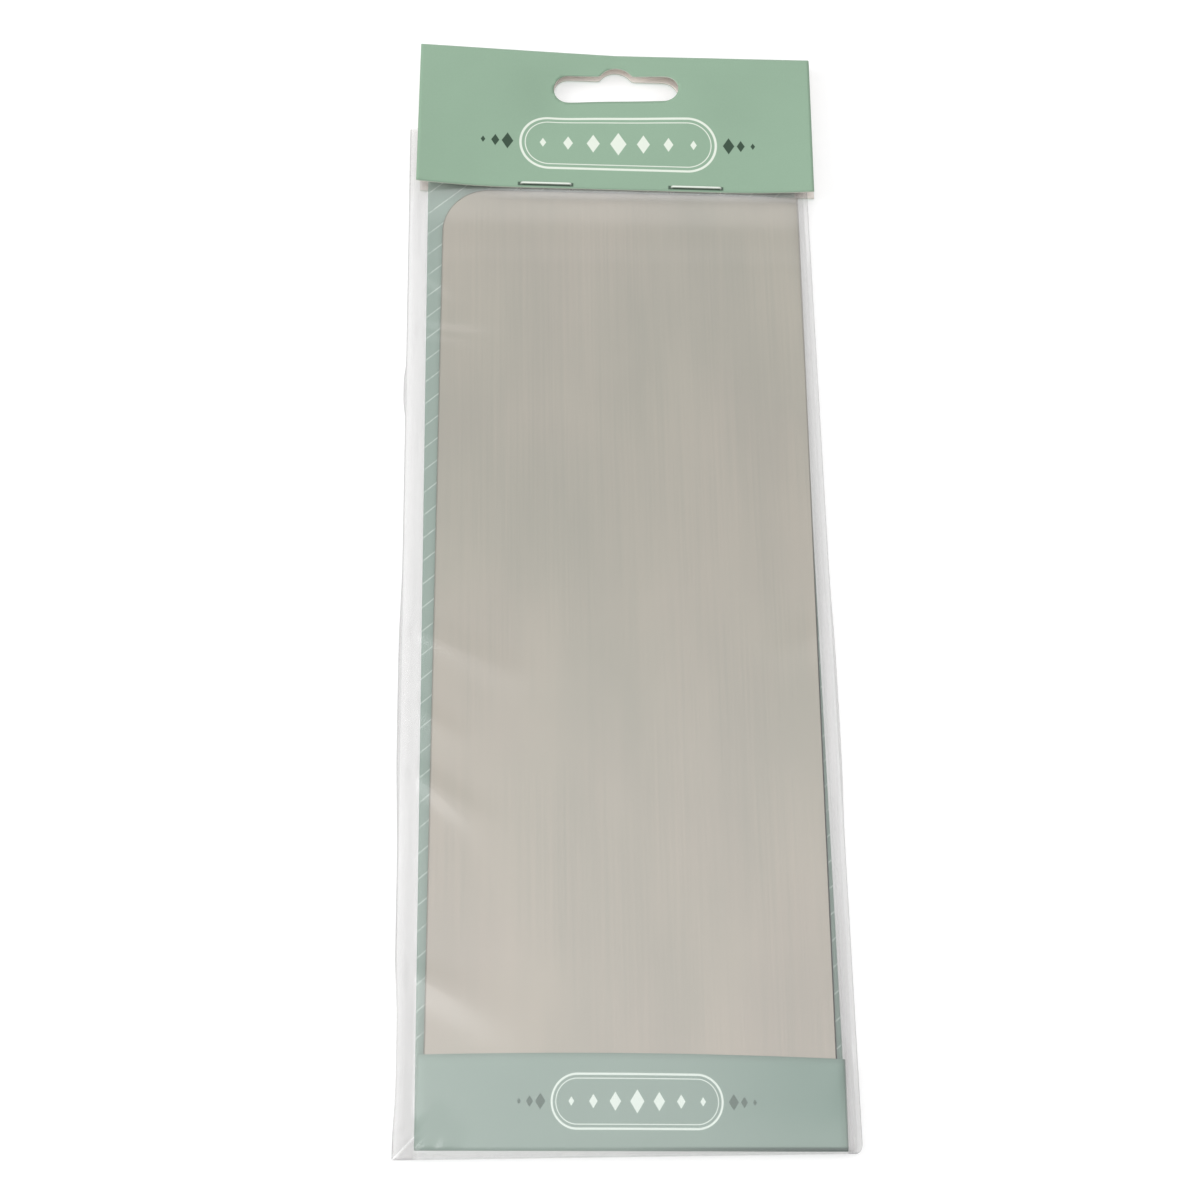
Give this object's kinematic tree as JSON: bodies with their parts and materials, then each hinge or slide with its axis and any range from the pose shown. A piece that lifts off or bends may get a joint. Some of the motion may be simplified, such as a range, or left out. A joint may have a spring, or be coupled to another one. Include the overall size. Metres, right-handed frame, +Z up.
{
  "type": "packed cake side scraper",
  "caption": "Flat steel cake side scraper with rounded corners, pocketed in a folded card inside a clear film bag under a stapled header card with a hang slot.",
  "frame": {"origin": "on the table, under the middle of the whole pack", "axes": "the pack lies on its back: +X to the right of the printed face, +Y towards the header, +Z up out of the printed face"},
  "size_m": [0.103, 0.2752, 0.0072],
  "materials": {
    "blade_steel": "brushed stainless sheet",
    "insert_card": "printed card, uncoated",
    "clear_film": "clear glossy film",
    "header_card": "printed card, matt, white inside",
    "staple_wire": "bright zinc plated wire"
  },
  "bodies": {
    "bag": {"bag_front_film": "clear_film", "bag_back_film": "clear_film", "bag_left_weld": "clear_film", "bag_right_weld": "clear_film", "bag_bottom_fold": "clear_film"},
    "insert": {"insert_back_panel": "insert_card", "insert_fold": "insert_card", "insert_flap": "insert_card"},
    "blade": {"scraper_blade": "blade_steel"},
    "header": {"header_front_panel": "header_card", "header_back_panel": "header_card", "header_fold": "header_card", "staple_left": "staple_wire", "staple_right": "staple_wire"}
  },
  "joints": [
    {"name": "insert_draw", "type": "slide", "parent": "bag", "child": "insert", "axis": [0, 1, 0], "range_m": [0, 0.255]},
    {"name": "blade_draw", "type": "slide", "parent": "insert", "child": "blade", "axis": [0, 1, 0], "range_m": [0, 0.25]},
    {"name": "header_pull", "type": "slide", "parent": "blade", "child": "header", "axis": [0, 1, 0], "range_m": [0, 0.05]}
  ]
}
